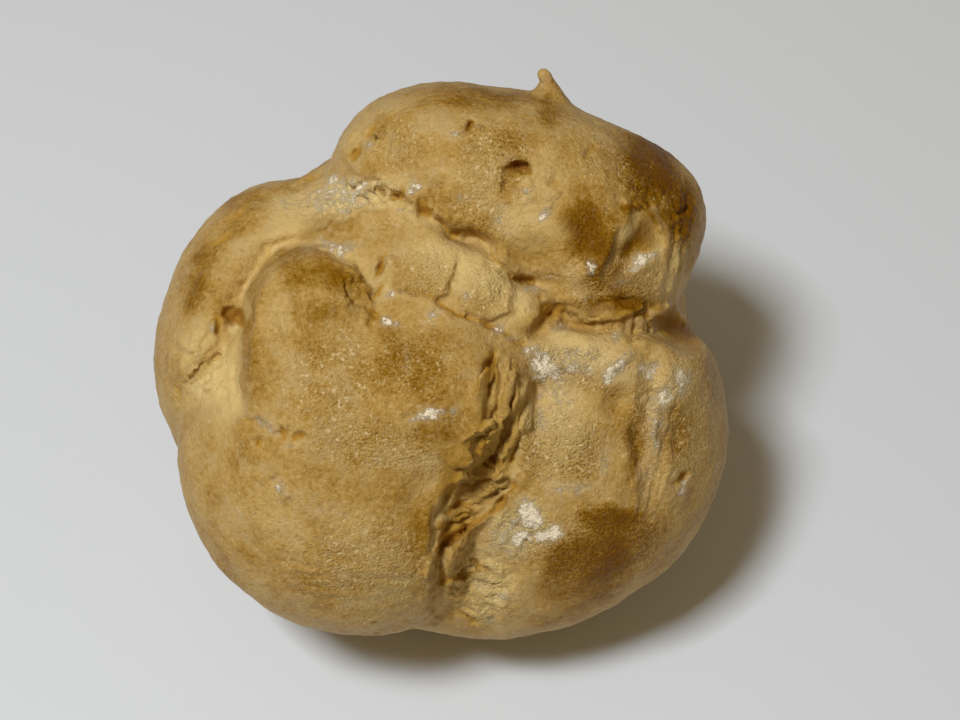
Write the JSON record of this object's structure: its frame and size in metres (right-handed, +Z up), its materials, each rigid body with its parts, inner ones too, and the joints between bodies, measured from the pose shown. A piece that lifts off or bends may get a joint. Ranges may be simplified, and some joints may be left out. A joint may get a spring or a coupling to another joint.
{
  "type": "cream puff",
  "caption": "Round baked choux bun that burst open as it rose, with swollen crust lobes, a lifted cap with a piped tip, deep tears and a flat base.",
  "frame": {"origin": "under the middle of the bun, on the surface that it rests on", "axes": "+Z up from the resting face, -Y towards the side with the deep front cleft, +X towards the larger right lobe"},
  "size_m": [0.0594, 0.0594, 0.0508],
  "materials": {
    "choux_crust": "golden baked choux crust, dry and slightly rough, paler in the tears, with a little flour"
  },
  "bodies": {
    "root": {"puff": "choux_crust"}
  },
  "joints": []
}
